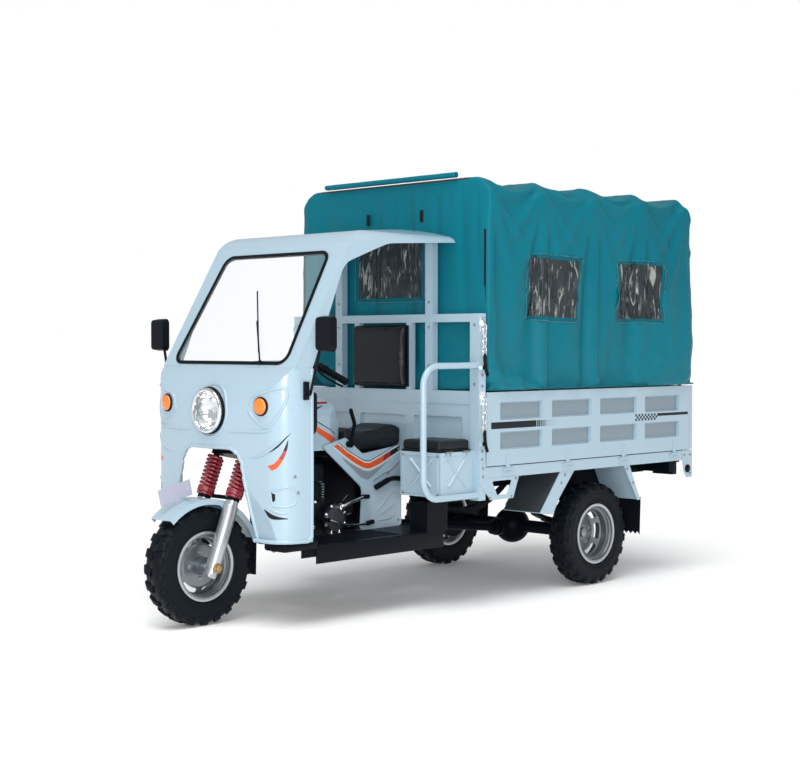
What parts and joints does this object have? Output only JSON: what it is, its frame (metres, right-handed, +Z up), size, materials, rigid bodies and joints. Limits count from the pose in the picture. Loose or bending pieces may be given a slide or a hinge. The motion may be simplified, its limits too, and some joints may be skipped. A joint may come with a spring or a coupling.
{
  "type": "motor tricycle",
  "caption": "Covered three-wheeled cargo motorcycle with a screened cab, dropside load bed and tarpaulin canopy.",
  "frame": {"origin": "on the ground below the middle of the overall length and width", "axes": "+X forward, +Y to the rider's left, +Z up"},
  "size_m": [3.44, 1.428, 2.2275],
  "materials": {
    "white_paint": "pale gloss paint",
    "grey_paint": "grey paint",
    "black_paint": "black satin paint",
    "black_plastic": "black moulded plastic",
    "rubber": "black rubber",
    "tyre": "black tyre rubber",
    "steel": "grey steel",
    "alloy": "cast alloy",
    "chrome": "bright plating",
    "red_paint": "red paint",
    "glass": "clear glass",
    "film": "clear flexible film",
    "amber": "amber lens",
    "red_lens": "red lens",
    "vinyl": "black seat cover",
    "tarpaulin": "teal tarpaulin"
  },
  "bodies": {
    "chassis": {"frame": "black_paint", "rear_axle": "black_paint", "leaf_springs": "black_paint", "driveshaft": "steel", "engine": "alloy", "exhaust": "steel", "fuel_tank": "white_paint", "saddle": "vinyl", "side_panels": "white_paint", "footboard": "black_paint", "fairing": "white_paint", "cab_shell": "white_paint", "windscreen_seal": "rubber", "windscreen": "glass", "wiper": "black_plastic", "headlamp_shell": "chrome", "headlamp_lens": "glass", "turn_lamps": "amber", "mirrors": "black_plastic", "dash_boxes": "black_plastic", "cargo_bed": "white_paint", "front_wall": "white_paint", "headboard_frame": "white_paint", "backrest": "vinyl", "bed_hinges": "white_paint", "canopy_bows": "grey_paint", "canopy": "tarpaulin", "canopy_windows": "film", "canopy_roll": "tarpaulin", "seat_boxes": "white_paint", "guard_rails": "white_paint", "side_brackets": "white_paint", "rear_mudguards": "white_paint", "mud_flaps": "rubber", "battery_box": "black_plastic", "tail_lamps": "red_lens", "corner_latches": "chrome", "brake_lever": "black_paint"},
    "steering": {"fork_yoke": "black_paint", "fork_legs": "alloy", "fork_springs": "red_paint", "front_fender": "white_paint", "front_flap": "rubber", "front_plate": "white_paint", "handlebar": "black_paint"},
    "front_wheel": {"front_tyre": "tyre", "front_rim": "steel"},
    "rear_left_wheel": {"rear_left_tyre": "tyre", "rear_left_rim": "steel"},
    "rear_right_wheel": {"rear_right_tyre": "tyre", "rear_right_rim": "steel"},
    "left_gate": {"side_gate_left": "white_paint"},
    "right_gate": {"side_gate_right": "white_paint"},
    "rear_gate": {"tailgate": "white_paint"},
    "left_lid": {"seat_lid_left": "vinyl"},
    "right_lid": {"seat_lid_right": "vinyl"}
  },
  "joints": [
    {"name": "steer", "type": "hinge", "parent": "chassis", "child": "steering", "pos_m": [1.40343, 0, 0.27117], "axis": [-0.3665, 0, 0.9304], "range_deg": [-38, 38]},
    {"name": "front_wheel_spin", "type": "hinge", "parent": "steering", "child": "front_wheel", "pos_m": [1.436, 0, 0.284], "axis": [0, 1, 0], "continuous": true},
    {"name": "rear_left_wheel_spin", "type": "hinge", "parent": "chassis", "child": "rear_left_wheel", "pos_m": [-0.884, 0.555, 0.284], "axis": [0, 1, 0], "continuous": true},
    {"name": "rear_right_wheel_spin", "type": "hinge", "parent": "chassis", "child": "rear_right_wheel", "pos_m": [-0.884, -0.555, 0.284], "axis": [0, 1, 0], "continuous": true},
    {"name": "left_gate_drop", "type": "hinge", "parent": "chassis", "child": "left_gate", "pos_m": [-0.76, 0.707, 0.702], "axis": [-1, 0, 0], "range_deg": [0, 170]},
    {"name": "right_gate_drop", "type": "hinge", "parent": "chassis", "child": "right_gate", "pos_m": [-0.76, -0.707, 0.702], "axis": [1, 0, 0], "range_deg": [0, 170]},
    {"name": "tailgate_drop", "type": "hinge", "parent": "chassis", "child": "rear_gate", "pos_m": [-1.713, 0, 0.702], "axis": [0, -1, 0], "range_deg": [0, 170]},
    {"name": "left_lid_lift", "type": "hinge", "parent": "chassis", "child": "left_lid", "pos_m": [0.33, 0.666, 0.803], "axis": [-1, 0, 0], "range_deg": [0, 80]},
    {"name": "right_lid_lift", "type": "hinge", "parent": "chassis", "child": "right_lid", "pos_m": [0.33, -0.666, 0.803], "axis": [1, 0, 0], "range_deg": [0, 80]}
  ]
}
